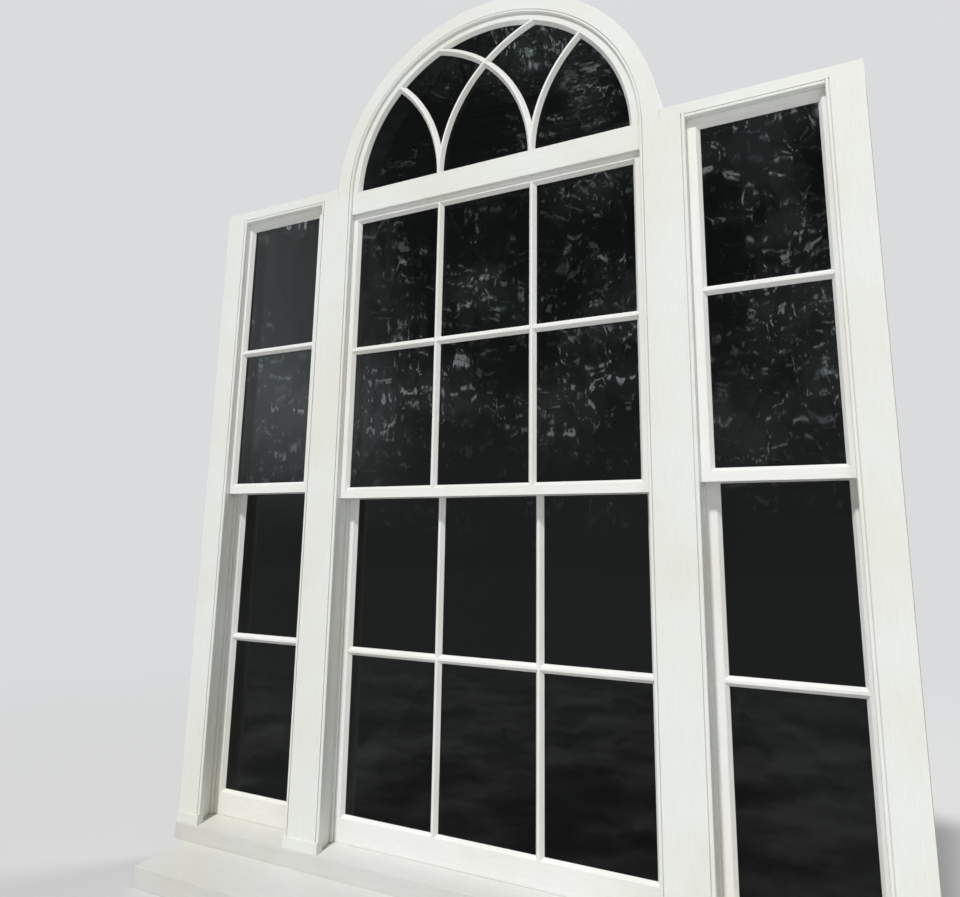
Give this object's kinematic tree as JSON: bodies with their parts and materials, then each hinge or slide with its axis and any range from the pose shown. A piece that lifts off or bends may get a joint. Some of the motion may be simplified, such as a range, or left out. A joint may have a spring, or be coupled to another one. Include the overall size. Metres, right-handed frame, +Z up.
{
  "type": "venetian window",
  "caption": "Round-headed timber window of a wide light between two narrow ones, with hung sashes, a traceried fanlight, boxed mullions and a broad sill.",
  "frame": {"origin": "middle of the window on the outer face of its linings, at the underside of the sub-sill", "axes": "+Z up, +Y into the building, +X to the right seen from outside"},
  "size_m": [2.25, 0.342, 2.8614],
  "materials": {
    "frame_paint": "satin white paint",
    "sash_paint": "satin white paint",
    "ledge_paint": "worn white paint",
    "bare_wood": "sawn softwood",
    "glass": "old window glass",
    "brass": "worn brass",
    "wheel_brass": "dull brass",
    "pulley_iron": "painted over in places",
    "weight_iron": "as cast, rusted",
    "cord": "waxed cotton"
  },
  "bodies": {
    "window_frame": {"sub_sill": "ledge_paint", "sill": "frame_paint", "plinth_blocks": "frame_paint", "outer_linings": "frame_paint", "arch_casing": "frame_paint", "inner_linings": "frame_paint", "back_linings": "bare_wood", "pulley_stiles": "frame_paint", "pocket_pieces": "frame_paint", "parting_beads": "frame_paint", "staff_beads": "frame_paint", "parting_slips": "bare_wood", "side_heads": "frame_paint", "transom": "frame_paint", "arch_frame": "frame_paint", "fanlight_bars": "sash_paint", "fanlight_panes": "glass", "pulley_cases": "pulley_iron", "sash_cords": "cord"},
    "centre_upper_sash": {"centre_upper_sash": "sash_paint", "centre_upper_bars": "sash_paint", "centre_upper_panes": "glass", "centre_upper_keep": "brass"},
    "centre_upper_weights": {"centre_upper_weights": "weight_iron"},
    "centre_upper_wheel_left": {"centre_upper_wheel_left": "wheel_brass"},
    "centre_upper_wheel_right": {"centre_upper_wheel_right": "wheel_brass"},
    "centre_lower_sash": {"centre_lower_sash": "sash_paint", "centre_lower_bars": "sash_paint", "centre_lower_panes": "glass", "centre_lower_fittings": "brass"},
    "centre_lower_weights": {"centre_lower_weights": "weight_iron"},
    "centre_lower_wheel_left": {"centre_lower_wheel_left": "wheel_brass"},
    "centre_lower_wheel_right": {"centre_lower_wheel_right": "wheel_brass"},
    "centre_lower_lever": {"centre_lower_lever": "brass"},
    "right_upper_sash": {"right_upper_sash": "sash_paint", "right_upper_panes": "glass", "right_upper_keep": "brass"},
    "right_upper_weights": {"right_upper_weights": "weight_iron"},
    "right_upper_wheel_left": {"right_upper_wheel_left": "wheel_brass"},
    "right_upper_wheel_right": {"right_upper_wheel_right": "wheel_brass"},
    "right_lower_sash": {"right_lower_sash": "sash_paint", "right_lower_panes": "glass", "right_lower_fittings": "brass"},
    "right_lower_weights": {"right_lower_weights": "weight_iron"},
    "right_lower_wheel_left": {"right_lower_wheel_left": "wheel_brass"},
    "right_lower_wheel_right": {"right_lower_wheel_right": "wheel_brass"},
    "right_lower_lever": {"right_lower_lever": "brass"},
    "left_upper_sash": {"left_upper_sash": "sash_paint", "left_upper_panes": "glass", "left_upper_keep": "brass"},
    "left_upper_weights": {"left_upper_weights": "weight_iron"},
    "left_upper_wheel_left": {"left_upper_wheel_left": "wheel_brass"},
    "left_upper_wheel_right": {"left_upper_wheel_right": "wheel_brass"},
    "left_lower_sash": {"left_lower_sash": "sash_paint", "left_lower_panes": "glass", "left_lower_fittings": "brass"},
    "left_lower_weights": {"left_lower_weights": "weight_iron"},
    "left_lower_wheel_left": {"left_lower_wheel_left": "wheel_brass"},
    "left_lower_wheel_right": {"left_lower_wheel_right": "wheel_brass"},
    "left_lower_lever": {"left_lower_lever": "brass"}
  },
  "joints": [
    {"name": "centre_upper_slide", "type": "slide", "parent": "window_frame", "child": "centre_upper_sash", "axis": [0, 0, 1], "range_m": [-0.9, 0]},
    {"name": "centre_upper_weights_slide", "type": "slide", "parent": "window_frame", "child": "centre_upper_weights", "axis": [0, 0, 1], "range_m": [0, 0.9]},
    {"name": "centre_upper_wheel_left_turn", "type": "hinge", "parent": "window_frame", "child": "centre_upper_wheel_left", "pos_m": [-0.555, 0.0435, 2.1075], "axis": [0, 1, 0], "range_deg": [0, 2348.6]},
    {"name": "centre_upper_wheel_right_turn", "type": "hinge", "parent": "window_frame", "child": "centre_upper_wheel_right", "pos_m": [0.555, 0.0435, 2.1075], "axis": [0, 1, 0], "range_deg": [-2348.6, 0]},
    {"name": "centre_lower_slide", "type": "slide", "parent": "window_frame", "child": "centre_lower_sash", "axis": [0, 0, 1], "range_m": [0, 0.9], "deforming": ["sash_cords"]},
    {"name": "centre_lower_weights_slide", "type": "slide", "parent": "window_frame", "child": "centre_lower_weights", "axis": [0, 0, 1], "range_m": [-0.9, 0]},
    {"name": "centre_lower_wheel_left_turn", "type": "hinge", "parent": "window_frame", "child": "centre_lower_wheel_left", "pos_m": [-0.555, 0.0985, 2.1075], "axis": [0, 1, 0], "range_deg": [-2348.6, 0]},
    {"name": "centre_lower_wheel_right_turn", "type": "hinge", "parent": "window_frame", "child": "centre_lower_wheel_right", "pos_m": [0.555, 0.0985, 2.1075], "axis": [0, 1, 0], "range_deg": [0, 2348.6]},
    {"name": "centre_lower_lever_turn", "type": "hinge", "parent": "centre_lower_sash", "child": "centre_lower_lever", "pos_m": [0, 0.092, 1.24], "axis": [0, 0, 1], "range_deg": [-90, 0]},
    {"name": "right_upper_slide", "type": "slide", "parent": "window_frame", "child": "right_upper_sash", "axis": [0, 0, 1], "range_m": [-0.9, 0]},
    {"name": "right_upper_weights_slide", "type": "slide", "parent": "window_frame", "child": "right_upper_weights", "axis": [0, 0, 1], "range_m": [0, 0.9]},
    {"name": "right_upper_wheel_left_turn", "type": "hinge", "parent": "window_frame", "child": "right_upper_wheel_left", "pos_m": [0.63, 0.0435, 2.1695], "axis": [0, 1, 0], "range_deg": [0, 2348.6]},
    {"name": "right_upper_wheel_right_turn", "type": "hinge", "parent": "window_frame", "child": "right_upper_wheel_right", "pos_m": [1.073, 0.0435, 2.1695], "axis": [0, 1, 0], "range_deg": [-2348.6, 0]},
    {"name": "right_lower_slide", "type": "slide", "parent": "window_frame", "child": "right_lower_sash", "axis": [0, 0, 1], "range_m": [0, 0.9]},
    {"name": "right_lower_weights_slide", "type": "slide", "parent": "window_frame", "child": "right_lower_weights", "axis": [0, 0, 1], "range_m": [-0.9, 0]},
    {"name": "right_lower_wheel_left_turn", "type": "hinge", "parent": "window_frame", "child": "right_lower_wheel_left", "pos_m": [0.63, 0.0985, 2.1695], "axis": [0, 1, 0], "range_deg": [-2348.6, 0]},
    {"name": "right_lower_wheel_right_turn", "type": "hinge", "parent": "window_frame", "child": "right_lower_wheel_right", "pos_m": [1.073, 0.0985, 2.1695], "axis": [0, 1, 0], "range_deg": [0, 2348.6]},
    {"name": "right_lower_lever_turn", "type": "hinge", "parent": "right_lower_sash", "child": "right_lower_lever", "pos_m": [0.8515, 0.092, 1.264], "axis": [0, 0, 1], "range_deg": [-90, 0]},
    {"name": "left_upper_slide", "type": "slide", "parent": "window_frame", "child": "left_upper_sash", "axis": [0, 0, 1], "range_m": [-0.9, 0]},
    {"name": "left_upper_weights_slide", "type": "slide", "parent": "window_frame", "child": "left_upper_weights", "axis": [0, 0, 1], "range_m": [0, 0.9]},
    {"name": "left_upper_wheel_left_turn", "type": "hinge", "parent": "window_frame", "child": "left_upper_wheel_left", "pos_m": [-1.073, 0.0435, 2.1695], "axis": [0, 1, 0], "range_deg": [0, 2348.6]},
    {"name": "left_upper_wheel_right_turn", "type": "hinge", "parent": "window_frame", "child": "left_upper_wheel_right", "pos_m": [-0.63, 0.0435, 2.1695], "axis": [0, 1, 0], "range_deg": [-2348.6, 0]},
    {"name": "left_lower_slide", "type": "slide", "parent": "window_frame", "child": "left_lower_sash", "axis": [0, 0, 1], "range_m": [0, 0.9]},
    {"name": "left_lower_weights_slide", "type": "slide", "parent": "window_frame", "child": "left_lower_weights", "axis": [0, 0, 1], "range_m": [-0.9, 0]},
    {"name": "left_lower_wheel_left_turn", "type": "hinge", "parent": "window_frame", "child": "left_lower_wheel_left", "pos_m": [-1.073, 0.0985, 2.1695], "axis": [0, 1, 0], "range_deg": [-2348.6, 0]},
    {"name": "left_lower_wheel_right_turn", "type": "hinge", "parent": "window_frame", "child": "left_lower_wheel_right", "pos_m": [-0.63, 0.0985, 2.1695], "axis": [0, 1, 0], "range_deg": [0, 2348.6]},
    {"name": "left_lower_lever_turn", "type": "hinge", "parent": "left_lower_sash", "child": "left_lower_lever", "pos_m": [-0.8515, 0.092, 1.264], "axis": [0, 0, 1], "range_deg": [-90, 0]}
  ],
  "couplings": [
    {"joint": "centre_upper_weights_slide", "follows": "centre_upper_slide", "ratio": -1},
    {"joint": "centre_upper_wheel_left_turn", "follows": "centre_upper_slide", "rad_per_m": -45.455},
    {"joint": "centre_upper_wheel_right_turn", "follows": "centre_upper_slide", "rad_per_m": 45.455},
    {"joint": "centre_lower_weights_slide", "follows": "centre_lower_slide", "ratio": -1},
    {"joint": "centre_lower_wheel_left_turn", "follows": "centre_lower_slide", "rad_per_m": -45.455},
    {"joint": "centre_lower_wheel_right_turn", "follows": "centre_lower_slide", "rad_per_m": 45.455},
    {"joint": "right_upper_weights_slide", "follows": "right_upper_slide", "ratio": -1},
    {"joint": "right_upper_wheel_left_turn", "follows": "right_upper_slide", "rad_per_m": -45.455},
    {"joint": "right_upper_wheel_right_turn", "follows": "right_upper_slide", "rad_per_m": 45.455},
    {"joint": "right_lower_weights_slide", "follows": "right_lower_slide", "ratio": -1},
    {"joint": "right_lower_wheel_left_turn", "follows": "right_lower_slide", "rad_per_m": -45.455},
    {"joint": "right_lower_wheel_right_turn", "follows": "right_lower_slide", "rad_per_m": 45.455},
    {"joint": "left_upper_weights_slide", "follows": "left_upper_slide", "ratio": -1},
    {"joint": "left_upper_wheel_left_turn", "follows": "left_upper_slide", "rad_per_m": -45.455},
    {"joint": "left_upper_wheel_right_turn", "follows": "left_upper_slide", "rad_per_m": 45.455},
    {"joint": "left_lower_weights_slide", "follows": "left_lower_slide", "ratio": -1},
    {"joint": "left_lower_wheel_left_turn", "follows": "left_lower_slide", "rad_per_m": -45.455},
    {"joint": "left_lower_wheel_right_turn", "follows": "left_lower_slide", "rad_per_m": 45.455}
  ]
}
